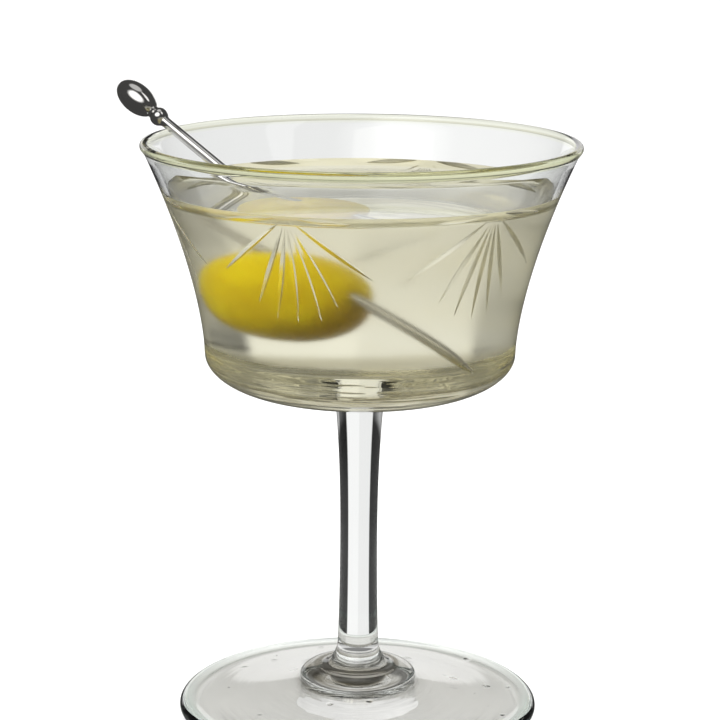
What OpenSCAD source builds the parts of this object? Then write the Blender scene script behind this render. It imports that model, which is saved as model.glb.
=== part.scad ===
// Martini in a cut-glass cocktail coupe, with an olive on a metal pick.
// The glass is turned about Z and stands on z = 0. The origin is the middle
// of the foot's underside, and -Y is the front.

/* [Bowl] */
// Diameter over the lip
rim_d = 90; // [75:1:110]
// Diameter at the bottom of the side wall
waist_d = 64.2; // [54:0.2:72]
// Height of the bowl from its underside to the lip
bowl_h = 52; // [44:1:65]
// How late the wall flares out, as the power of its curve
flare_power = 1.55; // [1.2:0.05:2]
// Width of the rounded corner under the wall
corner_w = 16; // [10:1:20]
// Height of the rounded corner under the wall
corner_h = 8.3; // [6:0.1:10]
// Wall thickness just below the lip
wall_rim = 1.3; // [1.1:0.1:2]
// Wall thickness at the bottom of the side wall
wall_foot = 2; // [1.6:0.1:3]
// Thickness of the bowl's bottom
base_t = 3.3; // [2.5:0.1:5]
// Width of the inner corner
inner_corner_w = 14; // [8:1:18]
// Height of the inner corner
inner_corner_h = 7; // [4:0.5:9]
// Diameter of the fire-polished bead around the lip
lip_bead = 1.8; // [1.6:0.1:2.4]

/* [Stem] */
// Height of the bowl's underside above the table
stem_h = 69.7; // [55:1:90]
// Diameter of the stem at its thinnest
stem_d = 7.8; // [7:0.2:10]
// Diameter where the stem meets the bowl
stem_top_d = 10.6; // [10:0.2:14]
// Diameter just above the skirt
stem_low_d = 8.5; // [8:0.1:10.5]
// Radius of the fillet under the bowl
top_fillet = 3.5; // [2:0.5:5]

/* [Foot] */
// Diameter of the foot
foot_d = 75.6; // [62:1:90]
// Height of the rolled edge
edge_h = 3.2; // [2.5:0.1:4.5]
// Width of the rolled edge
edge_w = 4.5; // [3.5:0.1:6]
// Height of the foot's top face where it meets the skirt
dome_h = 6.3; // [5:0.1:7]
// Diameter of the skirt where stem and foot were joined
skirt_d = 24.6; // [20:0.2:30]
// Height of the skirt's rounded ring above the foot
ring_h = 3.5; // [2.5:0.1:5]
// Height of the hollow flare from the ring up to the stem
flare_h = 6; // [4:0.5:9]

/* [Cut decoration] */
// Number of cut fans around the bowl
fans = 6; // [4:1:7]
// Turn of the first fan from the front
fan_turn = -20.5; // [-30:0.5:30]
// Depth of a fan's centre below the lip
fan_drop = 10.7; // [9:0.1:16]
// Depth of an upright groove
cut_depth = 0.5; // [0.3:0.05:0.6]
// Depth of a level groove
side_cut_depth = 0.6; // [0.4:0.05:0.8]
// Width of a groove at its middle
cut_width = 1.1; // [0.6:0.1:1.5]

/* [Drink] */
// Depth of the drink's level below the lip
level_drop = 11.3; // [8:0.1:18]
// How far the drink creeps up the wall
creep_h = 2; // [1:0.1:2.5]
// Width of the creeping edge
creep_w = 3.4; // [2:0.1:5]
// Gap between the drink and the glass
film_gap = 0.05; // [0.02:0.01:0.2]

/* [Olive] */
// Length of the olive
olive_len = 27.5; // [20:0.5:29]
// Diameter of the olive
olive_d = 21; // [16:0.5:22]
// How blunt the olive's ends are, where 2 is an ellipse
olive_blunt = 2.15; // [2:0.05:2.6]
// Room between the olive's end and the wall behind it, along the pick
olive_room = 9; // [7:0.1:13]
// How far the olive's centre hangs off the pick
olive_hang = 7; // [4:0.5:7.5]
// Turn of the olive about the vertical
olive_turn = -8; // [-30:1:30]
// Tilt of the olive's right end below level
olive_tilt = 4; // [-10:1:15]

/* [Pick] */
// Diameter of the shaft
shaft_d = 2.2; // [1.6:0.1:3]
// Diameter of the blunt tip
tip_d = 0.8; // [0.6:0.1:1.5]
// Length of the taper behind the tip
taper_len = 9; // [4:0.5:15]
// Diameter of the collar bead
collar_d = 3.9; // [3:0.1:5]
// Length of the collar bead
collar_len = 3.8; // [2.5:0.1:5]
// Diameter of the oval knob
knob_d = 6.2; // [5:0.1:9]
// Length of the oval knob
knob_len = 10.2; // [7:0.1:14]
// Bare shaft between the lip and the collar
overhang = 0.6; // [0.4:0.1:8]
// Where on the lip the pick leans, anticlockwise from the right
seat_angle = 159; // [140:1:175]
// Direction in which the tip points, anticlockwise from the right
tip_angle = -42.4; // [-60:1:-30]
// Height of the tip above the inner bottom
tip_rise = 5; // [3:0.5:9]
// Gap between the pick and what it touches
garnish_gap = 0.08; // [0.04:0.01:0.2]

/* [Hidden] */

// Fineness: points along an arc, along the wall and along the stem
arc_steps = 9;
wall_steps = 12;
stem_steps = 10;
cut_sections = 3;
$fn = 72;

// How far the body of a cut stands off the wall that it cuts
cut_proud = 0.4;

GLASS_COLOR = [0.82, 0.9, 0.88, 0.4];
DRINK_COLOR = [0.86, 0.85, 0.68, 0.6];
OLIVE_COLOR = [0.78, 0.7, 0.1];
METAL_COLOR = [0.72, 0.72, 0.7];

// Heights
rim_z = stem_h + bowl_h;
corner_z = stem_h + corner_h;
bottom_z = stem_h + base_t;
inner_corner_z = bottom_z + inner_corner_h;
fan_z = rim_z - fan_drop;
level_z = rim_z - level_drop;
creep_z = level_z + creep_h;
ring_z = dome_h + ring_h;
skirt_top_z = ring_z + flare_h;

// Radii
lip_r = lip_bead / 2;
waist_r = waist_d / 2;
bead_ring_r = rim_d / 2 - lip_r;
ring_inner_r = stem_low_d / 2 + (skirt_d - stem_low_d) / 4;

// A share of the stem's height where it is thinnest
stem_thin_z = skirt_top_z + (stem_h - skirt_top_z) * 0.4;

// A point at a radius, an angle and a height
function around(r, angle, z) = [r * cos(angle), r * sin(angle), z];

// Radius of the outer wall at a height above the corner
wall_span = rim_z - lip_r - corner_z;
wall_gain = bead_ring_r + wall_rim / 2 - waist_r;
function wall_share(z) = max(0, z - corner_z) / wall_span;
function outer_r(z) = waist_r + wall_gain * pow(wall_share(z), flare_power);
function wall_t(z) = wall_foot + (wall_rim - wall_foot) * wall_share(z);

// Radius of the inner wall at any height above the inner bottom
inner_waist_r = outer_r(inner_corner_z) - wall_t(inner_corner_z);
inner_flat_r = inner_waist_r - inner_corner_w;
function corner_share(z) = (inner_corner_z - z) / inner_corner_h;
function inner_r(z) = z >= inner_corner_z
    ? outer_r(z) - wall_t(z)
    : inner_flat_r + inner_corner_w * sqrt(max(0, 1 - pow(corner_share(z), 2)));

// Points of an elliptical arc in a turned profile, from angle a to angle b
function arc(centre, half_w, half_h, a, b, steps = arc_steps) = [
    for (i = [0 : steps])
        let (t = a + (b - a) * i / steps)
        centre + [half_w * cos(t), half_h * sin(t)]
];

// Shares from 0 to 1 that leave out the two ends
function between(steps) = [for (i = [1 : steps - 1]) i / steps];

// Radius of the stem at a height
function stem_r(z) = z > stem_thin_z
    ? stem_d / 2 + (stem_top_d - stem_d) / 2 * pow((z - stem_thin_z) / (stem_h - stem_thin_z), 2.4)
    : stem_d / 2 + (stem_low_d - stem_d) / 2 * pow((stem_thin_z - z) / (stem_thin_z - skirt_top_z), 2);

// The foot: rolled edge, then the face that rises to the skirt
edge_r = foot_d / 2;
face_outer_r = edge_r - edge_w;
face_low_z = edge_h - 0.5;
function face_z(s) = face_low_z + (dome_h - face_low_z) * pow(s, 1.5);
function foot_points() = concat(
    [[0, 0], [edge_r - edge_w / 2, 0]],
    arc([edge_r - edge_w / 2, edge_h / 2], edge_w / 2, edge_h / 2, -60, 120),
    [for (s = between(stem_steps)) [face_outer_r + (skirt_d / 2 - face_outer_r) * s, face_z(s)]]
);

// The skirt: a rounded ring with a hollow flare up to the stem
function skirt_points() = concat(
    [[skirt_d / 2, dome_h]],
    arc([ring_inner_r, dome_h + ring_h * 0.3], skirt_d / 2 - ring_inner_r, ring_h * 0.7, 0, 90),
    [for (s = between(arc_steps))
        [ring_inner_r - (ring_inner_r - stem_low_d / 2) * sin(90 * s), skirt_top_z - flare_h * cos(90 * s)]]
);

// The stem, up to the start of the fillet
stem_end_z = stem_h - top_fillet;
stem_end_r = stem_r(stem_end_z);
function stem_points() = [
    for (i = [0 : stem_steps])
        let (z = skirt_top_z + (stem_end_z - skirt_top_z) * i / stem_steps)
        [stem_r(z), z]
];

// The fillet, the underside and the outer corner
function belly_points() = concat(
    arc([stem_end_r + top_fillet, stem_end_z], top_fillet, top_fillet, 165, 90),
    arc([waist_r - corner_w, corner_z], corner_w, corner_h, -84, 0)
);

// The outer wall, up to the lip's bead
function outer_points() = [
    for (s = between(wall_steps))
        let (z = corner_z + wall_span * s)
        [outer_r(z), z]
];

// The lip and the inner wall, down to the inner bottom
function inner_points() = concat(
    arc([bead_ring_r, rim_z - lip_r], lip_r, lip_r, -30, 210),
    [for (i = [wall_steps - 1 : -1 : 0])
        let (z = inner_corner_z + (rim_z - lip_r - inner_corner_z) * i / wall_steps)
        [inner_r(z), z]],
    arc([inner_flat_r, inner_corner_z], inner_corner_w, inner_corner_h, -9, -90),
    [[0, bottom_z]]
);

// A place on the outer wall: along and across a ray of a fan that is turned
// from straight down, and height above the wall
function on_wall(turn, along, across, height) =
    let (
        down = along * cos(turn) - across * sin(turn),
        sideways = along * sin(turn) + across * cos(turn),
        z = fan_z - down,
        r = outer_r(z)
    )
    around(r + height, sideways / r * 180 / PI, z);

// One V-shaped groove that tapers to a point at both ends
module groove(turn, start, len) {
    depth = cut_depth + (side_cut_depth - cut_depth) * pow(sin(turn), 2);
    function fullness(s) = pow(sin(180 * s), 0.8);
    function section(s) =
        let (half_w = cut_width / 2 * fullness(s) * (1 + cut_proud / depth))
        [
            on_wall(turn, start + len * s, -half_w, cut_proud),
            on_wall(turn, start + len * s, half_w, cut_proud),
            on_wall(turn, start + len * s, 0, -depth * fullness(s))
        ];
    shares = between(cut_sections + 1);
    last = 3 * cut_sections + 1;
    polyhedron(
        points = concat(
            [on_wall(turn, start, 0, cut_proud)],
            [for (s = shares) each section(s)],
            [on_wall(turn, start + len, 0, cut_proud)]
        ),
        faces = concat(
            [for (k = [0 : 2]) [0, 1 + k, 1 + (k + 1) % 3]],
            [for (i = [0 : cut_sections - 2], k = [0 : 2])
                let (a = 1 + 3 * i + k, b = 1 + 3 * i + (k + 1) % 3)
                each [[a, a + 3, b], [b, a + 3, b + 3]]],
            [for (k = [0 : 2]) [last, last - 3 + (k + 1) % 3, last - 3 + k]]
        )
    );
}

// Rays of a fan: angle from straight down, start from the centre, length
FAN_RAYS = [[0, 2, 18], [12, 2.5, 18.5], [25, 3, 14.5], [57, 1.5, 18.5], [90, 1.5, 13]];
module fan() {
    for (ray = FAN_RAYS) {
        groove(ray[0], ray[1], ray[2]);
        if (ray[0] > 0)
            groove(-ray[0], ray[1], ray[2]);
    }
}

module glass() {
    color(GLASS_COLOR)
        difference() {
            rotate_extrude()
                polygon(concat(
                    foot_points(), skirt_points(), stem_points(),
                    belly_points(), outer_points(), inner_points()
                ));
            for (i = [0 : fans - 1])
                rotate([0, 0, fan_turn - 90 + 360 / fans * i])
                    fan();
        }
}

// The pick runs from its tip, by the inner wall, up over the lip.
tip_z = bottom_z + tip_rise;
tip_ring_r = inner_r(tip_z) - tip_d / 2 - garnish_gap;
tip_point = around(tip_ring_r, tip_angle, tip_z);
bead_point = around(bead_ring_r, seat_angle, rim_z - lip_r);
lip_tangent = [-sin(seat_angle), cos(seat_angle), 0];

// Lift over the lip's bead, so that the shaft's side just clears it
function unit(v) = v / norm(v);
function lift(direction) =
    (lip_r + shaft_d / 2 + garnish_gap) * norm(cross(direction, lip_tangent))
    / abs(cross(direction, lip_tangent)[2]);
first_seat = bead_point + [0, 0, lip_r + shaft_d / 2];
seat_point = bead_point + [0, 0, lift(unit(first_seat - tip_point))];
pick_axis = unit(seat_point - tip_point);
seat_station = norm(seat_point - tip_point);
collar_station = seat_station + lip_r + shaft_d / 2 + overhang - 0.9;
knob_station = collar_station + collar_len / 2 + knob_len / 2 - 0.4;

// Turn about the pick's own axis, which keeps its seam clear of the olive
seam_turn = 100;
module along_pick() {
    translate(tip_point)
        rotate([0, acos(pick_axis[2]), atan2(pick_axis[1], pick_axis[0])])
            rotate([0, 0, seam_turn])
                children();
}

// The pick's form, grown by a gap where something has to clear it
module pick_form(grow = 0) {
    shaft_r = shaft_d / 2 + grow;
    tip_r = tip_d / 2 + grow;
    along_pick() {
        rotate_extrude()
            polygon(concat(
                arc([0, tip_d / 2], tip_r, tip_r, -90, 0, 5),
                [[shaft_r, taper_len], [shaft_r, collar_station], [0, collar_station]]
            ));
        if (grow == 0) {
            bead(collar_station, collar_d, collar_len);
            bead(knob_station, knob_d, knob_len);
        }
    }
}

// A bead turned about the pick's axis
module bead(station, d, len) {
    rotate_extrude()
        polygon(arc([0, station], d / 2, len / 2, -90, 90, 18));
}

module pick() {
    color(METAL_COLOR)
        pick_form();
}

// How far out from the middle of the glass, along the pick, the tip and the
// olive's centre lie, and the olive's place on the pick that follows from it
plan_len = norm([pick_axis[0], pick_axis[1]]);
tip_reach = (tip_point[0] * pick_axis[0] + tip_point[1] * pick_axis[1]) / plan_len;
olive_reach = inner_r((bottom_z + level_z) / 2) - olive_room - olive_len / 2;
olive_station = (olive_reach - tip_reach - olive_hang * pick_axis[2]) / plan_len;

// The olive hangs under the pick, off its own axis
down_axis = unit([0, 0, -1] + pick_axis[2] * pick_axis);
olive_centre = tip_point + olive_station * pick_axis + olive_hang * down_axis;
function plump(t) = pow(1 - pow(abs(t), olive_blunt), 1 / olive_blunt);
OLIVE_STEPS = 22;
module olive_form(grow = 0) {
    half = olive_len / 2 + grow;
    translate(olive_centre)
        rotate([0, 90 + olive_tilt, olive_turn])
            rotate_extrude()
                polygon([
                    for (i = [0 : OLIVE_STEPS])
                        let (t = -cos(180 * i / OLIVE_STEPS))
                        [(olive_d / 2 + grow) * plump(t), half * t]
                ]);
}

module olive() {
    color(OLIVE_COLOR)
        difference() {
            olive_form();
            pick_form(garnish_gap);
        }
}

// The drink fills the bowl to its level and creeps up the wall
creep_r = inner_r(creep_z) - film_gap;
function drink_points() = concat(
    [[0, bottom_z + film_gap]],
    arc([inner_flat_r, inner_corner_z], inner_corner_w - film_gap, inner_corner_h - film_gap, -90, -9),
    [for (i = [0 : wall_steps])
        let (z = inner_corner_z + (creep_z - inner_corner_z) * i / wall_steps)
        [inner_r(z) - film_gap, z]],
    [for (s = between(arc_steps)) [creep_r - creep_w * s, level_z + creep_h * pow(1 - s, 2.2)]],
    [[creep_r - creep_w, level_z], [0, level_z]]
);

module drink() {
    color(DRINK_COLOR)
        difference() {
            rotate_extrude()
                polygon(drink_points());
            olive_form(garnish_gap);
            pick_form(garnish_gap);
        }
}

glass();
drink();
olive();
pick();
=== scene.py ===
"""The looks of a martini in a cut coupe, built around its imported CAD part."""

import logging
import math
import random
from collections.abc import Callable, Sequence
from dataclasses import dataclass, field
from enum import Enum

import bpy
import numpy as np
from mathutils import Matrix, Vector, noise

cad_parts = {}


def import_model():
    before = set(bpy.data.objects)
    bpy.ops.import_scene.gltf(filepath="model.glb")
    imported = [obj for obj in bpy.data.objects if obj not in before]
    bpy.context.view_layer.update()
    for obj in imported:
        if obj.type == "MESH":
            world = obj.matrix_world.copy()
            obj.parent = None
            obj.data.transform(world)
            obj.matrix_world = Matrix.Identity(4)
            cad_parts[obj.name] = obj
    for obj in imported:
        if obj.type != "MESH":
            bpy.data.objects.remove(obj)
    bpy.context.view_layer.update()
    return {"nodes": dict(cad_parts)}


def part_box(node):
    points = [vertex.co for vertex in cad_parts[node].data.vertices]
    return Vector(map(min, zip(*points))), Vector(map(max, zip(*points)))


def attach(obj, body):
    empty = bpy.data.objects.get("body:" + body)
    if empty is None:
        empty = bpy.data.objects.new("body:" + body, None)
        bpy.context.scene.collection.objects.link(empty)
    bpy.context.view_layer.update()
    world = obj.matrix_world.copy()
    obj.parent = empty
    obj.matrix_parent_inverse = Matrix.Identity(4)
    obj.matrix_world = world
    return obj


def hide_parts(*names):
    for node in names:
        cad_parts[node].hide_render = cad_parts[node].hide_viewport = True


log = logging.getLogger("martini")

MM = 0.001
Colour = tuple[float, float, float]
Pair = tuple[float, float]
Box = tuple[float, float, float, float]


# ---------------------------------------------------------------- shader maths


class Value:
    """A shader socket that Python's operators can be used on."""

    def __init__(self, graph: "Graph", socket: bpy.types.NodeSocket) -> None:
        """Keeps the socket and the graph that it belongs to."""
        self.graph = graph
        self.socket = socket

    def maths(self, operation: str, *others: "Value | float", swap: bool = False) -> "Value":
        """Adds one Math node.

        Args:
            operation: The node's operation, such as "ADD".
            others: What follows this value in the operation.
            swap: Whether this value comes last instead of first.

        Returns:
            The node's result.
        """
        terms = [*others, self] if swap else [self, *others]
        inputs = dict(enumerate(terms))
        return self.graph.value("ShaderNodeMath", {"operation": operation}, inputs)

    def feed(self, shader: bpy.types.Node, socket: str) -> None:
        """Feeds one of a shader's sockets."""
        self.graph.tree.links.new(self.socket, shader.inputs[socket])

    def __add__(self, other: "Value | float") -> "Value":
        """Adds."""
        return self.maths("ADD", other)

    def __sub__(self, other: "Value | float") -> "Value":
        """Subtracts."""
        return self.maths("SUBTRACT", other)

    def __rsub__(self, other: float) -> "Value":
        """Subtracts this value from a number."""
        return self.maths("SUBTRACT", other, swap=True)

    def __mul__(self, other: "Value | float") -> "Value":
        """Multiplies."""
        return self.maths("MULTIPLY", other)

    def __truediv__(self, other: "Value | float") -> "Value":
        """Divides."""
        return self.maths("DIVIDE", other)

    __radd__ = __add__
    __rmul__ = __mul__

    def __abs__(self) -> "Value":
        """Drops the sign."""
        return self.maths("ABSOLUTE")

    def rise(self, low: float, high: float) -> "Value":
        """Rises smoothly from 0 at low to 1 at high.

        Args:
            low: Where the rise starts.
            high: Where the rise ends.

        Returns:
            The smooth step.
        """
        settings = {"interpolation_type": "SMOOTHSTEP"}
        return self.graph.value("ShaderNodeMapRange", settings, {0: self, 1: low, 2: high})

    def bump_up(self, low: float, high: float, edge: float) -> "Value":
        """Is 1 between low and high and 0 outside, with soft edges.

        Args:
            low: Where the plateau starts.
            high: Where the plateau ends.
            edge: Width of each soft edge.

        Returns:
            The plateau.
        """
        return self.rise(low - edge, low) * (1.0 - self.rise(high, high + edge))


class Graph:
    """A node tree that is written as Python expressions."""

    MIX_LOW, MIX_HIGH, MIX_RESULT = 6, 7, 2  # the colour sockets of a Mix node

    def __init__(self, tree: bpy.types.NodeTree) -> None:
        """Empties the tree."""
        self.tree = tree
        tree.nodes.clear()

    def node(self, kind: str, settings: dict, inputs: dict) -> bpy.types.Node:
        """Adds a node of any type.

        Args:
            kind: The node's type.
            settings: Its settings, which are set first.
            inputs: Values or links of its sockets, by name or number.

        Returns:
            The node.
        """
        made = self.tree.nodes.new(kind)
        for name, setting in settings.items():
            setattr(made, name, setting)
        for name, given in inputs.items():
            socket = made.inputs[name]
            if isinstance(given, Value):
                self.tree.links.new(given.socket, socket)
            elif socket.type == "RGBA":
                socket.default_value = (*given, 1.0)
            else:
                socket.default_value = given
        return made

    def value(self, kind: str, settings: dict, inputs: dict, output: int | str = 0) -> Value:
        """Adds a node and gives one of its outputs as a value."""
        return Value(self, self.node(kind, settings, inputs).outputs[output])

    def mix(self, share: "Value | float", low: "Value | Colour", high: "Value | Colour") -> Value:
        """Mixes two colours.

        Args:
            share: 0 for the first colour, 1 for the second.
            low: The first colour.
            high: The second colour.

        Returns:
            The mixed colour.
        """
        colours = {self.MIX_LOW: low, self.MIX_HIGH: high}
        return self.value("ShaderNodeMix", {"data_type": "RGBA"}, {0: share, **colours}, self.MIX_RESULT)

    def parts(self, place: Value) -> list[Value]:
        """Splits a place into its three coordinates."""
        split = self.node("ShaderNodeSeparateXYZ", {}, {0: place})
        return [Value(self, output) for output in split.outputs]

    def clouds(self, place: Value, scale: float, detail: float, twist: float = 0.0) -> Value:
        """Random patches that pass softly into each other.

        Args:
            place: Where on the piece they are asked for.
            scale: How many there are to a metre.
            detail: How much finer structure they have.
            twist: How far they are warped.

        Returns:
            A value around 0.5.
        """
        inputs = {"Vector": place, "Scale": scale, "Detail": detail, "Distortion": twist}
        return self.value("ShaderNodeTexNoise", {}, inputs)

    def dots(self, place: Value, scale: float) -> Value:
        """Distance to the nearest of many scattered points, in their own spacing."""
        return self.value("ShaderNodeTexVoronoi", {}, {"Vector": place, "Scale": scale})

    def bump(self, height: Value, depth: float, strength: float = 1.0) -> Value:
        """Turns a height into a surface normal.

        Args:
            height: The height, from 0 to 1.
            depth: What a height of 1 is, in metres.
            strength: How much of it shows.

        Returns:
            The normal.
        """
        return self.value("ShaderNodeBump", {}, {"Strength": strength, "Distance": depth, "Height": height})


# -------------------------------------------------------------------- finishes


@dataclass(frozen=True)
class Finish:
    """A finish made of one Principled shader; a subclass adds what varies."""

    name: str
    colour: Colour
    roughness: float = 0.0
    ior: float = 1.5
    transmission: float = 0.0
    metallic: float = 0.0

    def material(self) -> bpy.types.Material:
        """Makes the material, once.

        Returns:
            The material, which several pieces can share.
        """
        found = bpy.data.materials.get(self.name)
        if found:
            return found
        made = bpy.data.materials.new(self.name)
        made.use_nodes = True
        graph = Graph(made.node_tree)
        shader = graph.node("ShaderNodeBsdfPrincipled", {}, {
            "Base Color": self.colour,
            "Roughness": self.roughness,
            "IOR": self.ior,
            "Transmission Weight": self.transmission,
            "Metallic": self.metallic,
        })
        self.vary(graph, shader)
        graph.node("ShaderNodeOutputMaterial", {}, {"Surface": Value(graph, shader.outputs[0])})
        return made

    def vary(self, graph: Graph, shader: bpy.types.Node) -> None:
        """Adds what changes over the surface; the plain finish adds nothing."""

    @staticmethod
    def place(graph: Graph) -> Value:
        """The place on the piece, in metres."""
        return graph.value("ShaderNodeTexCoord", {}, {}, "Object")


@dataclass(frozen=True)
class ClearGlass(Finish):
    """Hand-made glass: clear, with colour where it is thick, marks of the turning, and painted shade at the
    join over the foot and on the bowl's bottom.
    """

    thick_colour: Colour = (0.78, 0.94, 0.89)
    lip_colour: Colour = (0.935, 0.96, 0.70)
    foot_colour: Colour = (0.98, 0.98, 0.955)
    # Painted shade: a near-black colour for the join over the foot, not the glass's own colour.
    join_painted_shade: Colour = (0.12, 0.105, 0.07)
    # Painted shade: a darker colour for streaks on the bowl's bottom, not the glass's own colour.
    bottom_painted_shade: Colour = (0.50, 0.48, 0.40)
    edge_radius: float = 34 * MM
    edge_height: float = 4 * MM
    lip_height: float = 119.6 * MM
    foot_height: float = 6 * MM
    join_span: Pair = (6.6 * MM, 12 * MM)
    join_radius: float = 4.4 * MM
    bottom_span: Pair = (69 * MM, 76 * MM)
    bottom_radius: float = 8 * MM
    front_span: Pair = (-16 * MM, 8 * MM)
    ripple_scale: float = 55.0
    ripple: float = 0.03
    ring_scale: float = 420.0
    ring_drift: float = 0.1
    bottom_rings: float = 0.45
    foot_rings: float = 0.05
    pit_scale: float = 105.0
    pit_size: Pair = (0.02, 0.13)
    pits: float = 0.12

    def vary(self, graph: Graph, shader: bpy.types.Node) -> None:
        """Colours the thick places, paints shade at the join over the foot and on the bowl's bottom, and
        marks the surface.

        Args:
            graph: The material's nodes.
            shader: Its shader.
        """
        place = self.place(graph)
        x, y, z = graph.parts(place)
        radius = (x * x + y * y).maths("SQRT")
        on_lathe = graph.value("ShaderNodeCombineXYZ", {}, {0: radius, 1: z, 2: x * self.ring_drift})
        rings = graph.clouds(on_lathe, self.ring_scale, 2.0)
        in_foot = 1.0 - z.rise(self.foot_height, self.foot_height + 2 * MM)
        tint = graph.mix(in_foot, self.colour, self.foot_colour)
        self.tint(graph, tint, (radius, y, z), rings).feed(shader, "Base Color")
        ripple = graph.clouds(place, self.ripple_scale, 1.0)
        in_bottom = z.bump_up(self.bottom_span[0], self.bottom_span[1] + MM, 3 * MM)
        pits = 1.0 - graph.dots(place, self.pit_scale).rise(*self.pit_size)
        height = rings * (in_bottom * self.bottom_rings + in_foot * self.foot_rings)
        height = ripple * self.ripple + height - pits * in_foot * self.pits
        graph.bump(height, MM).feed(shader, "Normal")

    def tint(self, graph: Graph, tint: Value, where: tuple[Value, Value, Value], rings: Value) -> Value:
        """Colours the rolled edge and the lip, and paints streaks of shade at the join over the foot and on
        the bowl's bottom.

        Args:
            graph: The material's nodes.
            tint: The colour so far.
            where: Radius, depth and height on the glass.
            rings: The marks of the turning, which also break up the painted shade.

        Returns:
            The colour.
        """
        radius, y, z = where
        in_front = 1.0 - y.rise(*self.front_span) * 0.75
        low_down = 1.0 - z.rise(self.edge_height, self.edge_height * 2)
        in_edge = radius.rise(self.edge_radius, self.edge_radius + 3 * MM) * low_down
        tint = graph.mix(in_edge * in_front, tint, self.thick_colour)
        in_lip = z.rise(self.lip_height, self.lip_height + 0.5 * MM) * (in_front * 0.8 + 0.2)
        tint = graph.mix(in_lip, tint, self.lip_colour)
        # Painted shade: dark streaks round the join over the foot, standing in for the dark that the skirt
        # shows.
        at_join = z.bump_up(*self.join_span, 0.8 * MM) * radius.rise(self.join_radius, 6 * MM)
        tint = graph.mix(at_join * (rings.rise(0.40, 0.55) * 0.75 + 0.15), tint, self.join_painted_shade)
        # Painted shade: darker streaks on the bowl's bottom, standing in for the dark that it shows.
        outside = radius.rise(self.bottom_radius, self.bottom_radius * 1.5)
        at_bottom = z.bump_up(*self.bottom_span, 2 * MM) * outside
        return graph.mix(at_bottom * rings.rise(0.42, 0.58), tint, self.bottom_painted_shade)


@dataclass(frozen=True)
class CutGlass(Finish):
    """The walls of a wheel-cut groove, half polished."""

    grain_scale: float = 9000.0
    grain: float = 0.2

    def vary(self, graph: Graph, shader: bpy.types.Node) -> None:
        """Roughens the cut with the fine marks of the wheel."""
        grain = graph.clouds(self.place(graph), self.grain_scale, 2.0)
        (grain * self.grain + self.roughness).feed(shader, "Roughness")


@dataclass(frozen=True)
class WettedGlass(Finish):
    """The inside of the bowl where the drink lies: the chilled drink hazes it."""

    haze: float = 0.36
    patch_scale: float = 120.0
    clear_below: float = 77 * MM
    hazy_above: float = 83 * MM

    def vary(self, graph: Graph, shader: bpy.types.Node) -> None:
        """Hazes the side wall unevenly and leaves the bottom clear.

        Args:
            graph: The material's nodes.
            shader: Its shader.
        """
        place = self.place(graph)
        on_side = graph.parts(place)[2].rise(self.clear_below, self.hazy_above)
        patches = graph.clouds(place, self.patch_scale, 2.0)
        (on_side * (patches * 0.3 + 0.85) * self.haze + self.roughness).feed(shader, "Roughness")


@dataclass(frozen=True)
class Liquid(Finish):
    """The drink: brine from the olive leaves faint streaks in it."""

    streak: Colour = (0.975, 0.97, 0.94)
    streak_scale: float = 60.0
    streak_twist: float = 1.5

    def vary(self, graph: Graph, shader: bpy.types.Node) -> None:
        """Streaks the tint."""
        brine = graph.clouds(self.place(graph), self.streak_scale, 2.0, self.streak_twist)
        graph.mix(brine.rise(0.45, 0.75), self.colour, self.streak).feed(shader, "Base Color")


@dataclass(frozen=True)
class LiquidSurface(Liquid):
    """The open surface of the drink, with a thin glossy film of oil."""

    film: float = 0.75
    film_ior: float = 1.5
    film_roughness: float = 0.04
    oil_scale: float = 90.0
    oil_haze: float = 0.03
    swell_scale: float = 110.0
    swell: float = 0.12 * MM

    def vary(self, graph: Graph, shader: bpy.types.Node) -> None:
        """Adds the film of oil, thinner in patches, and a slight swell.

        Args:
            graph: The material's nodes.
            shader: Its shader.
        """
        super().vary(graph, shader)
        place = self.place(graph)
        oil = graph.clouds(place, self.oil_scale, 3.0)
        (oil.rise(0.3, 0.6) * (1.0 - self.film) + self.film).feed(shader, "Coat Weight")
        (oil * self.oil_haze + self.roughness).feed(shader, "Roughness")
        shader.inputs["Coat IOR"].default_value = self.film_ior
        shader.inputs["Coat Roughness"].default_value = self.film_roughness
        swell = graph.clouds(place, self.swell_scale, 1.0)
        graph.bump(swell, self.swell, 0.5).feed(shader, "Normal")


@dataclass(frozen=True)
class OliveSkin(Finish):
    """Wet olive skin: golden green, mottled, with small pale pores and painted shade on its lower right."""

    dark: Colour = (0.66, 0.48, 0.004)
    light: Colour = (0.90, 0.80, 0.08)
    # Painted shade: a brown for the olive's lower right, where it turns from the light.
    painted_shade_colour: Colour = (0.26, 0.15, 0.006)
    shade_span: Pair = (91 * MM, 100 * MM)
    patch_scale: float = 90.0
    pore_scale: float = 900.0
    grain_scale: float = 700.0
    grain: float = 0.15 * MM
    softness: float = 0.35
    soft_colour: Colour = (1.0, 0.7, 0.1)
    soft_depth: float = 4 * MM

    def vary(self, graph: Graph, shader: bpy.types.Node) -> None:
        """Mottles the skin and adds pores, painted shade low down and towards the right end, and a soft
        bump.

        Args:
            graph: The material's nodes.
            shader: Its shader.
        """
        place = self.place(graph)
        x, _, z = graph.parts(place)
        patches = graph.clouds(place, self.patch_scale, 4.0)
        tone = graph.mix(patches.rise(0.35, 0.68), self.dark, self.colour)
        spots = 1.0 - graph.dots(place, self.pore_scale).rise(0.08, 0.2)
        # Painted shade: darker towards the bottom and the right end, where the olive turns from the light.
        below = 1.0 - (z + patches * 4 * MM - x * 0.45).rise(*self.shade_span)
        tone = graph.mix(spots * 0.45, tone, self.light)
        graph.mix(below * 0.85, tone, self.painted_shade_colour).feed(shader, "Base Color")
        grain = graph.clouds(place, self.grain_scale, 3.0)
        graph.bump(grain + spots * 0.6, self.grain, 0.4).feed(shader, "Normal")
        (patches * 0.2 + self.roughness).feed(shader, "Roughness")
        shader.inputs["Subsurface Weight"].default_value = self.softness
        shader.inputs["Subsurface Radius"].default_value = self.soft_colour
        shader.inputs["Subsurface Scale"].default_value = self.soft_depth


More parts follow.
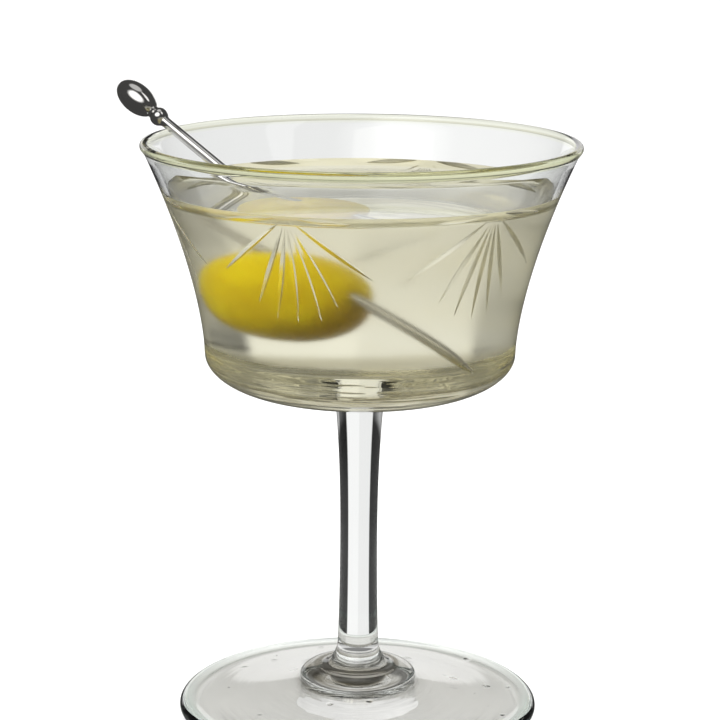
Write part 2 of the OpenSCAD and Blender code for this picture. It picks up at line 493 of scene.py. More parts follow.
@dataclass(frozen=True)
class PolishedMetal(Finish):
    """Polished metal with faint wear: duller patches and shallow dents."""

    worn: Colour = (0.80, 0.79, 0.76)
    wear_scale: float = 600.0
    wear: float = 0.16
    dent_scale: float = 260.0
    dent: float = 0.05 * MM

    def vary(self, graph: Graph, shader: bpy.types.Node) -> None:
        """Breaks up the gloss.

        Args:
            graph: The material's nodes.
            shader: Its shader.
        """
        place = self.place(graph)
        wear = graph.clouds(place, self.wear_scale, 4.0)
        (wear * self.wear + self.roughness).feed(shader, "Roughness")
        graph.bump(graph.clouds(place, self.dent_scale, 1.0), self.dent, 0.3).feed(shader, "Normal")
        graph.mix(wear.rise(0.3, 0.7), self.colour, self.worn).feed(shader, "Base Color")


GLASS_IOR = 1.5
DRINK_IOR = 1.36
DRINK_TINT: Colour = (0.935, 0.906, 0.735)
CLEAR = ClearGlass("clear_glass", (0.985, 0.995, 0.985), 0.0, GLASS_IOR, 1.0)
WETTED = WettedGlass("wetted_glass", DRINK_TINT, 0.03, GLASS_IOR / DRINK_IOR, 1.0)
GROUND = CutGlass("cut_glass", (0.98, 0.985, 0.955), 0.1, GLASS_IOR, 1.0)
STREAK_TINT: Colour = (0.95, 0.925, 0.79)
DRINK_OPEN = LiquidSurface("drink_surface", DRINK_TINT, 0.01, DRINK_IOR, 1.0, streak=STREAK_TINT)
DRINK_WALL = Liquid("drink_against_glass", (1.0, 1.0, 1.0), 0.0, 1.0, 1.0)
PAPER = Finish("floor_paper", (0.97, 0.97, 0.965), 0.9)
OLIVE = OliveSkin("olive_skin", (0.84, 0.68, 0.004), 0.25, 1.12)
METAL = PolishedMetal("pick_metal", (0.64, 0.62, 0.58), 0.04, 1.5, 0.0, 1.0)


# ------------------------------------------------------------------- workshop


class Workshop:
    """The modelling moves that the pieces share."""

    @staticmethod
    def clear() -> None:
        """Leaves edit mode and deselects everything."""
        if bpy.context.object and bpy.context.object.mode != "OBJECT":
            bpy.ops.object.mode_set(mode="OBJECT")
        bpy.ops.object.select_all(action="DESELECT")

    @classmethod
    def pick_up(cls, *pieces: bpy.types.Object) -> None:
        """Selects only these objects and makes the first one active.

        Args:
            pieces: The objects.
        """
        cls.clear()
        for piece in pieces:
            piece.select_set(True)
        bpy.context.view_layer.objects.active = pieces[0]

    @classmethod
    def turn(cls, name: str, outline: Sequence[Vector], steps: int) -> bpy.types.Object:
        """Turns an outline about the Z axis, as on a lathe.

        Args:
            name: The piece's name.
            outline: Points in the XZ plane, from the axis round to the axis.
            steps: How many sides the turned form has.

        Returns:
            A closed mesh object at the origin.
        """
        cls.clear()
        bpy.ops.mesh.primitive_plane_add(size=MM, location=outline[0])
        piece = bpy.context.object
        piece.name = piece.data.name = name
        bpy.ops.object.transform_apply(location=True)
        bpy.ops.object.mode_set(mode="EDIT")
        bpy.ops.mesh.select_mode(type="VERT")
        bpy.ops.mesh.select_all(action="SELECT")
        bpy.ops.mesh.merge(type="CENTER")
        for here, there in zip(outline, outline[1:]):
            bpy.ops.mesh.extrude_region_move(TRANSFORM_OT_translate={"value": there - here})
        bpy.ops.mesh.select_all(action="SELECT")
        bpy.ops.mesh.spin(steps=steps, angle=2 * math.pi, center=(0, 0, 0), axis=(0, 0, 1))
        bpy.ops.mesh.select_all(action="SELECT")
        bpy.ops.mesh.remove_doubles(threshold=0.001 * MM)
        bpy.ops.mesh.select_all(action="SELECT")
        bpy.ops.mesh.normals_make_consistent(inside=False)
        bpy.ops.object.mode_set(mode="OBJECT")
        return piece

    @classmethod
    def smooth(cls, piece: bpy.types.Object, degrees: float) -> None:
        """Shades a piece smooth except at edges sharper than the angle."""
        cls.pick_up(piece)
        bpy.ops.object.shade_smooth_by_angle(angle=math.radians(degrees))

    @classmethod
    def shape(cls, piece: bpy.types.Object, move: Callable[[Vector], Vector]) -> None:
        """Moves each vertex of a piece to where a rule puts it.

        Args:
            piece: The piece, which is changed.
            move: The rule, from the old place to the new one.
        """
        for vertex in piece.data.vertices:
            vertex.co = move(vertex.co)
        piece.data.update()

    @classmethod
    def cut(cls, piece: bpy.types.Object, cutter: bpy.types.Object) -> None:
        """Cuts one piece with another.

        Args:
            piece: The piece that is cut.
            cutter: What it is cut with, which is used up.
        """
        cls.pick_up(piece)
        modifier = piece.modifiers.new("cut", "BOOLEAN")
        modifier.operation = "DIFFERENCE"
        modifier.object = cutter
        modifier.solver = "EXACT"
        modifier.use_self = True
        modifier.material_mode = "TRANSFER"
        bpy.ops.object.modifier_apply(modifier=modifier.name)
        bpy.data.objects.remove(cutter, do_unlink=True)

    @classmethod
    def join(cls, name: str, pieces: Sequence[bpy.types.Object]) -> bpy.types.Object:
        """Joins pieces into one object.

        Args:
            name: The name of the whole.
            pieces: What is joined.

        Returns:
            The whole.
        """
        cls.pick_up(*pieces)
        bpy.ops.object.join()
        joined = bpy.context.object
        joined.name = joined.data.name = name
        return joined

    @staticmethod
    def paint(piece: bpy.types.Object, finishes: Sequence[Finish]) -> None:
        """Gives a piece its finishes.

        Args:
            piece: The piece.
            finishes: The finishes, in the order of its material slots.
        """
        piece.data.materials.clear()
        for finish in finishes:
            piece.data.materials.append(finish.material())


def arc(centre: Pair, half: Pair, span: Pair, steps: int) -> list[Pair]:
    """Points along an elliptical arc in the outline's plane.

    Args:
        centre: Radius and height of the arc's centre.
        half: Half its width and half its height.
        span: Angles of its two ends, in degrees.
        steps: How many stretches it has.

    Returns:
        Pairs of radius and height.
    """
    low, high = map(math.radians, span)
    turns = [low + (high - low) * i / steps for i in range(steps + 1)]
    return [(centre[0] + half[0] * math.cos(t), centre[1] + half[1] * math.sin(t)) for t in turns]


def between(steps: int) -> list[float]:
    """Shares from 0 to 1 in equal steps, without the two ends."""
    return [i / steps for i in range(1, steps)]


def outline_of(points: Sequence[Pair]) -> list[Vector]:
    """Turns pairs of radius and height, in millimetres, into points in metres."""
    return [Vector((r * MM, 0.0, z * MM)) for r, z in points]


# ----------------------------------------------------------------- the coupe


@dataclass
class Coupe:
    """The glass, in millimetres, with its origin under the middle of the foot."""

    rim_r: float
    rim_z: float
    foot_r: float
    waist_r: float = 32.1
    bowl_h: float = 52.0
    flare_power: float = 1.55
    corner_w: float = 16.0
    corner_h: float = 8.3
    wall_rim: float = 1.3
    wall_foot: float = 2.0
    base_t: float = 3.3
    inner_corner_w: float = 14.0
    inner_corner_h: float = 7.0
    lip_r: float = 0.9
    stem_r: float = 3.9
    stem_top_r: float = 5.3
    stem_low_r: float = 4.25
    top_fillet: float = 3.5
    edge_h: float = 3.2
    edge_w: float = 4.5
    dome_h: float = 6.3
    skirt_r: float = 12.3
    ring_h: float = 3.5
    flare_h: float = 6.0
    hollow_h: float = 3.2
    hollow_r: float = 31.5
    thin_share: float = 0.4
    stem_power: float = 2.4
    face_drop: float = 0.5
    dome_power: float = 1.5
    ring_sit: float = 0.3
    sides: int = 256

    def __post_init__(self) -> None:
        """Works out the sizes that follow from the others."""
        self.stem_z = self.rim_z - self.bowl_h
        self.corner_z = self.stem_z + self.corner_h
        self.bottom_z = self.stem_z + self.base_t
        self.inner_corner_z = self.bottom_z + self.inner_corner_h
        self.bead_r = self.rim_r - self.lip_r
        self.bead_z = self.rim_z - self.lip_r
        self.wall_span = self.bead_z - self.corner_z
        self.wall_gain = self.bead_r + self.wall_rim / 2 - self.waist_r
        inner_waist_r = self.outer(self.inner_corner_z) - self.wall(self.inner_corner_z)
        self.inner_flat_r = inner_waist_r - self.inner_corner_w
        self.skirt_top_z = self.dome_h + self.ring_h + self.flare_h
        self.ring_r = self.stem_low_r + (self.skirt_r - self.stem_low_r) / 2
        self.stem_thin_z = self.skirt_top_z + (self.stem_z - self.skirt_top_z) * self.thin_share

    def share(self, z: float) -> float:
        """How far up the side wall a height is, from 0 to 1."""
        return max(0.0, z - self.corner_z) / self.wall_span

    def outer(self, z: float) -> float:
        """Radius of the outer wall at a height."""
        return self.waist_r + self.wall_gain * self.share(z) ** self.flare_power

    def wall(self, z: float) -> float:
        """Thickness of the wall at a height."""
        return self.wall_foot + (self.wall_rim - self.wall_foot) * self.share(z)

    def inner(self, z: float) -> float:
        """Radius of the inner wall.

        Args:
            z: Any height above the inner bottom.

        Returns:
            The radius there.
        """
        if z >= self.inner_corner_z:
            return self.outer(z) - self.wall(z)
        drop = min(1.0, (self.inner_corner_z - z) / self.inner_corner_h)
        return self.inner_flat_r + self.inner_corner_w * math.sqrt(1 - drop * drop)

    def stem(self, z: float) -> float:
        """Radius of the stem.

        Args:
            z: A height between the skirt and the bowl.

        Returns:
            The radius there.
        """
        if z > self.stem_thin_z:
            up = (z - self.stem_thin_z) / (self.stem_z - self.stem_thin_z)
            return self.stem_r + (self.stem_top_r - self.stem_r) * up ** self.stem_power
        down = (self.stem_thin_z - z) / (self.stem_thin_z - self.skirt_top_z)
        return self.stem_r + (self.stem_low_r - self.stem_r) * down ** 2

    def foot_outline(self) -> list[Pair]:
        """The foot: a faint hollow underneath, the rolled edge and the rising face.

        Returns:
            Pairs of radius and height, from the axis out and up.
        """
        face_r = self.foot_r - self.edge_w
        face_z = self.edge_h - self.face_drop
        edge = (self.foot_r - self.edge_w / 2, self.edge_h / 2)
        under = [
            (self.hollow_r * s, self.hollow_h * math.cos(math.pi / 2 * s) ** 2)
            for s in [0.0, *between(40), 1.0]
        ]
        roll = arc(edge, (self.edge_w / 2, self.edge_h / 2), (-90, 120), 18)
        face = [
            (face_r + (self.skirt_r - face_r) * s, face_z + (self.dome_h - face_z) * s ** self.dome_power)
            for s in between(48)
        ]
        return [*under, *roll, *face]

    def skirt_outline(self) -> list[Pair]:
        """The ring where foot and stem were joined, and its hollow flare.

        Returns:
            Pairs of radius and height, from the foot up.
        """
        ring_z = self.dome_h + self.ring_h
        middle = (self.ring_r, self.dome_h + self.ring_h * self.ring_sit)
        half = (self.skirt_r - self.ring_r, self.ring_h * (1 - self.ring_sit))
        reach = self.ring_r - self.stem_low_r
        turns = [math.pi / 2 * s for s in between(24)]
        flare = [
            (self.ring_r - reach * math.sin(t), ring_z + self.flare_h * (1 - math.cos(t))) for t in turns
        ]
        return [(self.skirt_r, self.dome_h), *arc(middle, half, (0, 90), 20), *flare]

    def stem_outline(self) -> list[Pair]:
        """The stem, the fillet under the bowl, and the bowl's outer corner.

        Returns:
            Pairs of radius and height, from the skirt up.
        """
        end_z = self.stem_z - self.top_fillet
        heights = [self.skirt_top_z + (end_z - self.skirt_top_z) * i / 24 for i in range(25)]
        stem = [(self.stem(z), z) for z in heights]
        middle = (stem[-1][0] + self.top_fillet, end_z)
        fillet = arc(middle, (self.top_fillet, self.top_fillet), (172, 90), 8)
        middle = (self.waist_r - self.corner_w, self.corner_z)
        return [*stem, *fillet, *arc(middle, (self.corner_w, self.corner_h), (-86, 0), 18)]

    def wall_outline(self, wet_z: float) -> list[Pair]:
        """The outer wall, the lip, and the inner wall down to the inner bottom.

        Args:
            wet_z: Height of the drink's upper edge, where a ring of points lies.

        Returns:
            Pairs of radius and height.
        """
        outside = [(self.outer(z), z) for z in (self.corner_z + self.wall_span * s for s in between(30))]
        lip = arc((self.bead_r, self.bead_z), (self.lip_r, self.lip_r), (-32, 212), 16)
        dry = [(self.inner(z), z) for z in (self.bead_z + (wet_z - self.bead_z) * s for s in between(8))]
        wet_span = self.inner_corner_z - wet_z
        wet = [(self.inner(z), z) for z in (wet_z + wet_span * s for s in [0.0, *between(22), 1.0])]
        middle = (self.inner_flat_r, self.inner_corner_z)
        corner = arc(middle, (self.inner_corner_w, self.inner_corner_h), (-6, -90), 16)
        floor = [(self.inner_flat_r * (1 - s), self.bottom_z) for s in between(4)]
        return [*outside, *lip, *dry, *wet, *corner, *floor, (0.0, self.bottom_z)]

    def is_wetted(self, centre: Vector, wet_z: float) -> bool:
        """Whether a face of the glass is one that the drink lies against.

        Args:
            centre: The face's middle, in metres.
            wet_z: Height of the drink's upper edge.

        Returns:
            True on the wetted inside.
        """
        r, z = math.hypot(centre.x, centre.y) / MM, centre.z / MM
        inside = r < self.inner(z) + 0.3 if z > self.bottom_z else r < self.inner_flat_r
        return self.bottom_z - 0.05 < z < wet_z and inside

    def build(self, wet_z: float, cuts: bpy.types.Object) -> bpy.types.Object:
        """Turns the glass, cuts its decoration and gives it its finishes.

        Args:
            wet_z: Height of the drink's upper edge.
            cuts: All the grooves and bubbles, as one cutter.

        Returns:
            The glass.
        """
        low_points = [*self.foot_outline(), *self.skirt_outline(), *self.stem_outline()]
        points = outline_of([*low_points, *self.wall_outline(wet_z)])
        glass = Workshop.turn("coupe_glass", points, self.sides)
        Workshop.paint(glass, [CLEAR, WETTED])
        for face in glass.data.polygons:
            face.material_index = int(self.is_wetted(face.center, wet_z))
        Workshop.cut(glass, cuts)
        Workshop.smooth(glass, 28)
        return glass


# ------------------------------------------------------------- cut decoration


@dataclass
class Fans:
    """Fans of wheel-cut grooves round the bowl, and the seeds in the glass."""

    coupe: Coupe
    count: int = 6
    turn: float = -20.5
    drop: float = 9.6
    depth: float = 0.5
    side_depth: float = 0.6
    width: float = 1.1
    proud: float = 0.4
    sections: int = 12
    wander_angle: float = 0.9
    wander_length: float = 0.5
    point_power: float = 0.8
    bottom_seeds: int = 12
    bottom_seed_r: Pair = (4, 22)
    bottom_seed_rise: Pair = (-0.5, 0.8)
    bottom_seed_size: Pair = (0.12, 0.28)
    foot_seeds: int = 7
    foot_seed_r: Pair = (22, 31)
    foot_seed_z: float = 2.3
    foot_seed_size: Pair = (0.15, 0.3)
    rays: tuple = ((0, 0.8, 22), (12, 0.9, 22), (25, 1, 20), (52, 0.8, 20.5), (85, 1.5, 13))
    chance: random.Random = field(default_factory=lambda: random.Random(11))

    def bar(self) -> bpy.types.Object:
        """A straight bar of triangular section along X, pointed at both ends.

        Returns:
            A bar one metre long, one metre high and two metres wide.
        """
        Workshop.clear()
        bpy.ops.mesh.primitive_circle_add(vertices=3, radius=1.0, fill_type="NGON", location=(0, 0, 0))
        bar = bpy.context.object
        corners = [Vector((0, 0, -1)), Vector((0, 1, 1)), Vector((0, -1, 1))]
        for vertex, corner in zip(bar.data.vertices, corners):
            vertex.co = corner
        bpy.ops.object.mode_set(mode="EDIT")
        bpy.ops.mesh.select_mode(type="VERT")
        bpy.ops.mesh.select_all(action="SELECT")
        step = Vector((1.0 / self.sections, 0, 0))
        for _ in range(self.sections):
            bpy.ops.mesh.extrude_region_move(TRANSFORM_OT_translate={"value": step})
        bpy.ops.mesh.merge(type="CENTER")
        bpy.ops.object.mode_set(mode="OBJECT")
        for vertex in bar.data.vertices:
            vertex.select = vertex.co.x < step.x / 2
        bpy.ops.object.mode_set(mode="EDIT")
        bpy.ops.mesh.merge(type="CENTER")
        bpy.ops.mesh.select_all(action="SELECT")
        bpy.ops.mesh.normals_make_consistent(inside=False)
        bpy.ops.object.mode_set(mode="OBJECT")
        return bar

    def on_wall(self, fan: float, ray: float, along: float, across: float, height: float) -> Vector:
        """A place on the outer wall, in metres.

        Args:
            fan: The fan's angle round the bowl, in degrees.
            ray: The ray's angle from straight down, in degrees.
            along: Distance along the ray.
            across: Distance to its side.
            height: Height above the wall.

        Returns:
            The point.
        """
        turn = math.radians(ray)
        down = along * math.cos(turn) - across * math.sin(turn)
        sideways = along * math.sin(turn) + across * math.cos(turn)
        z = self.coupe.rim_z - self.drop - down
        r = self.coupe.outer(z)
        angle = math.radians(fan - 90) + sideways / r
        return Vector(((r + height) * math.cos(angle), (r + height) * math.sin(angle), z)) * MM

    def groove(self, bar: bpy.types.Object, fan: float, ray: float, reach: Pair) -> bpy.types.Object:
        """Copies the bar and lays it along one ray of a fan.

        Args:
            bar: The straight bar.
            fan: The fan's angle round the bowl, in degrees.
            ray: The ray's angle from straight down, in degrees.
            reach: Where it starts along the ray, and how long it is.

        Returns:
            The groove's cutter.
        """
        start, length = reach
        piece = bar.copy()
        piece.data = bar.data.copy()
        bpy.context.collection.objects.link(piece)
        ray += self.chance.uniform(-self.wander_angle, self.wander_angle)
        length += self.chance.uniform(-self.wander_length, self.wander_length)
        depth = self.depth + (self.side_depth - self.depth) * math.sin(math.radians(ray)) ** 2
        half_w = self.width / 2 * (1 + self.proud / depth)

        def lay(place: Vector) -> Vector:
            """Bends a point of the straight bar onto the wall.

            Args:
                place: The point on the bar.

            Returns:
                The point on the wall.
            """
            fullness = max(0.0, math.sin(math.pi * place.x)) ** self.point_power
            height = self.proud if place.z > -0.5 else -depth * fullness
            if place.x in (0.0, 1.0):
                height = self.proud
            return self.on_wall(fan, ray, start + length * place.x, place.y * half_w * fullness, height)

        Workshop.shape(piece, lay)
        return piece

    def seed(self, place: Vector, size: float) -> bpy.types.Object:
        """A small bubble caught in the glass.

        Args:
            place: Its middle, in millimetres.
            size: Its radius, in millimetres.

        Returns:
            The bubble.
        """
        Workshop.clear()
        bpy.ops.mesh.primitive_ico_sphere_add(subdivisions=2, radius=size * MM, location=place * MM)
        bubble = bpy.context.object
        bpy.ops.object.transform_apply(location=True)
        return bubble

    def build(self) -> bpy.types.Object:
        """Makes every groove and bubble.

        Returns:
            One cutter that holds them all.
        """
        bar = self.bar()
        cutters = []
        for index in range(self.count):
            fan = self.turn + 360 / self.count * index
            for ray, start, length in self.rays:
                cutters.append(self.groove(bar, fan, ray, (start, length)))
                if ray:
                    cutters.append(self.groove(bar, fan, -ray, (start, length)))
        bpy.data.objects.remove(bar, do_unlink=True)
        middle = (self.coupe.stem_z + self.coupe.bottom_z) / 2
        for _ in range(self.bottom_seeds):
            r, angle = self.chance.uniform(*self.bottom_seed_r), self.chance.uniform(0, 2 * math.pi)
            z = middle + self.chance.uniform(*self.bottom_seed_rise)
            place = Vector((r * math.cos(angle), r * math.sin(angle), z))
            cutters.append(self.seed(place, self.chance.uniform(*self.bottom_seed_size)))
        for _ in range(self.foot_seeds):
            r, angle = self.chance.uniform(*self.foot_seed_r), self.chance.uniform(0, 2 * math.pi)
            place = Vector((r * math.cos(angle), r * math.sin(angle), self.foot_seed_z))
            cutters.append(self.seed(place, self.chance.uniform(*self.foot_seed_size)))
        joined = Workshop.join("cutters", cutters)
        Workshop.paint(joined, [GROUND])
        for face in joined.data.polygons:
            face.material_index = 0
        return joined


# ------------------------------------------------------------------ the drink


@dataclass
class Drink:
    """The drink, in millimetres: it reaches just into the wall on every side."""

    coupe: Coupe
    creep_z: float
    creep_h: float = 2.0
    creep_w: float = 3.4
    creep_power: float = 2.2
    sink: float = 0.25
    ring_h: float = 0.9
    ring_reach: float = 1.1
    sides: int = 224

    @property
    def level_z(self) -> float:
        """Height of the drink's flat surface."""
        return self.creep_z - self.creep_h

    def build(self, pick: "PickLine") -> bpy.types.Object:
        """Turns the drink and raises its surface where it clings to the pick.

        Args:
            pick: The line of the pick, which the drink climbs.

        Returns:
            The drink.
        """
        glass = self.coupe
        bottom = (0.0, glass.bottom_z - self.sink)
        half = (glass.inner_corner_w + self.sink, glass.inner_corner_h + self.sink)
        corner = arc((glass.inner_flat_r, glass.inner_corner_z), half, (-90, -6), 14)
        span = self.creep_z - glass.inner_corner_z
        side = [
            (glass.inner(z) + self.sink, z)
            for z in (glass.inner_corner_z + span * s for s in [0.0, *between(18), 1.0])
        ]
        edge_r = glass.inner(self.creep_z)
        creep = [
            (edge_r - self.creep_w * s, self.level_z + self.creep_h * (1 - s) ** self.creep_power)
            for s in [0.0, *between(14)]
        ]
        flat_r = edge_r - self.creep_w
        flat = [(flat_r * (1 - s), self.level_z) for s in [0.0, *between(48), 1.0]]
        points = outline_of([bottom, *corner, *side, *creep, *flat])
        drink = Workshop.turn("drink_body", points, self.sides)

        def cling(place: Vector) -> Vector:
            """Lifts the surface close to the pick.

            Args:
                place: A point of the drink.

            Returns:
                The point, lifted if it is on the surface.
            """
            on_top = place.z > (self.level_z - 0.01) * MM and place.xy.length < (edge_r - 0.2) * MM
            if not on_top:
                return place
            gap = max(0.0, pick.distance(place) / MM - pick.shaft_r)
            return place + Vector((0, 0, self.ring_h * math.exp(-gap / self.ring_reach) * MM))

        Workshop.shape(drink, cling)
        Workshop.paint(drink, [DRINK_OPEN, DRINK_WALL])
        for face in drink.data.polygons:
            r, z = face.center.xy.length / MM, face.center.z / MM
            buried = z < self.level_z - 0.01 or r > edge_r - 0.01 and z > self.creep_z - 0.3
            face.material_index = int(buried)
        Workshop.smooth(drink, 50)
        return drink


# ------------------------------------------------------------ olive and pick


@dataclass
class PickLine:
    """The line of the pick, from its tip to the end of its knob, in metres."""

    tip: Vector
    end: Vector
    shaft_r: float = 1.1

    @classmethod
    def of_node(cls, node: bpy.types.Object) -> "PickLine":
        """Finds the line from the CAD piece's own shape.

        Args:
            node: The CAD piece.

        Returns:
            The line through its middle, from end to end.
        """
        places = np.array([vertex.co for vertex in node.data.vertices])
        middle = places.mean(0)
        axis = np.linalg.svd(places - middle, full_matrices=False)[2][0]
        axis *= math.copysign(1.0, axis[2])
        along = (places - middle) @ axis
        return cls(Vector(middle + axis * along.min()), Vector(middle + axis * along.max()))

    @property
    def axis(self) -> Vector:
        """Direction from the tip to the knob."""
        return (self.end - self.tip).normalized()

    @property
    def length(self) -> float:
        """Length from end to end."""
        return (self.end - self.tip).length

    def distance(self, place: Vector) -> float:
        """Distance of a place from the line."""
        return (place - self.tip).cross(self.axis).length

    def frame(self) -> Matrix:
        """Where a form turned about Z goes, with its foot at the tip."""
        return Matrix.Translation(self.tip) @ self.axis.to_track_quat("Z", "Y").to_matrix().to_4x4()


@dataclass
class Pick:
    """The metal pick, in millimetres from its tip."""

    line: PickLine
    tip_r: float = 0.4
    taper: float = 9.0
    collar_r: float = 1.95
    collar_len: float = 3.8
    knob_r: float = 3.08
    knob_len: float = 10.2
    inset: float = 0.03
    neck_overlap: float = 0.4
    neck_len: float = 2.0
    step: float = 0.12
    step_len: float = 0.25
    sides: int = 64

    def build(self) -> bpy.types.Object:
        """Turns the pick and lays it on its line.

        Returns:
            The pick.
        """
        end = self.line.length / MM - self.inset
        knob = end - self.knob_len / 2
        collar = knob - self.knob_len / 2 - self.collar_len / 2 + self.neck_overlap
        shaft = self.line.shaft_r
        widening = shaft - self.tip_r
        low, high = self.taper + 1.0, collar - self.neck_len
        points = [
            *arc((0, self.tip_r), (self.tip_r, self.tip_r), (-90, 0), 6),
            *[(self.tip_r + widening * math.sin(math.pi / 2 * s), self.tip_r + self.taper * s)
              for s in between(8)],
            (shaft, low),
            *[(shaft, low + (high - low) * s) for s in between(10)],
            (shaft, high),
            (shaft + self.step, high + self.step_len),
            *arc((0, collar), (self.collar_r, self.collar_len / 2), (-52, 44), 14),
            *arc((0, knob), (self.knob_r, self.knob_len / 2), (-64, 90), 30),
        ]
        pick = Workshop.turn("pick_shaft_and_knob", outline_of(points), self.sides)
        pick.data.transform(self.line.frame())
        pick.data.update()
        Workshop.paint(pick, [METAL])
        Workshop.smooth(pick, 40)
        return pick


@dataclass
class Olive:
    """The olive, in millimetres, on the pick."""

    centre: Vector
    line: PickLine
    half_len: float = 13.75
    half_d: float = 10.5
    blunt: float = 2.15
    turn: float = -8.0
    tilt: float = 4.0
    lump: float = 0.28
    lump_scale: float = 1.6
    slim: float = 0.12
    scar: float = 0.8
    scar_share: float = 0.012
    pucker: float = 0.7
    pucker_reach: float = 1.1

    def build(self) -> bpy.types.Object:
        """Shapes the olive from a ball.

        Returns:
            The olive.
        """
        Workshop.clear()
        bpy.ops.mesh.primitive_uv_sphere_add(segments=96, ring_count=56, radius=1.0, location=(0, 0, 0))
        olive = bpy.context.object
        olive.name = olive.data.name = "olive_body"
        around = Matrix.Rotation(math.radians(self.turn), 4, "Z")
        over = Matrix.Rotation(math.radians(90 + self.tilt), 4, "Y")
        lay = Matrix.Translation(self.centre) @ around @ over

        def plump(place: Vector) -> Vector:
            """Takes a point of the ball to the olive's skin.

            Args:
                place: A point of the ball, whose radius is 1.

            Returns:
                The point of the skin, in metres.
            """
            along = max(-1.0, min(1.0, place.z))
            fat = (1 - abs(along) ** self.blunt) ** (1 / self.blunt)
            ring = Vector((place.x, place.y, 0.0))
            ring = ring.normalized() if ring.length > 1e-6 else Vector()
            lumps = self.lump * noise.noise(place * self.lump_scale) - self.slim
            scar = self.scar * math.exp(-((1 - along) / self.scar_share)) if along > 0 else 0.0
            skin = Vector((0, 0, self.half_len * along - scar)) + ring * (self.half_d * fat + lumps * fat)
            place = lay @ (skin * MM)
            gap = max(0.0, self.line.distance(place) / MM - self.line.shaft_r)
            inward = (self.centre - place).normalized()
            return place + inward * self.pucker * math.exp(-((gap / self.pucker_reach) ** 2)) * MM

        Workshop.shape(olive, plump)
        Workshop.paint(olive, [OLIVE])
        Workshop.smooth(olive, 60)
        return olive


# ---------------------------------------------------------------------- studio


class Side(Enum):
    """The ways that the studio's lights face."""

    LEFT = Vector((-0.75, -0.55, 0.62))
    RIGHT = Vector((0.85, -0.25, 0.5))
    TOP = Vector((0.05, 0.25, 1.0))


@dataclass(frozen=True)
class Card:
    """An upright card of the studio; its angles are in degrees."""

    aside: Pair
    rise: Pair
    soft: Pair

    def met(self, aside: Value, elevation: Value) -> Value:
        """How much of the card lies in a direction.

        Args:
            aside: The direction's angle from straight back.
            elevation: Its height above the horizon.

        Returns:
            1 on the card and 0 off it.
        """
        across = aside.bump_up(*self.aside, self.soft[0])
        return across * elevation.bump_up(*self.rise, self.soft[1])


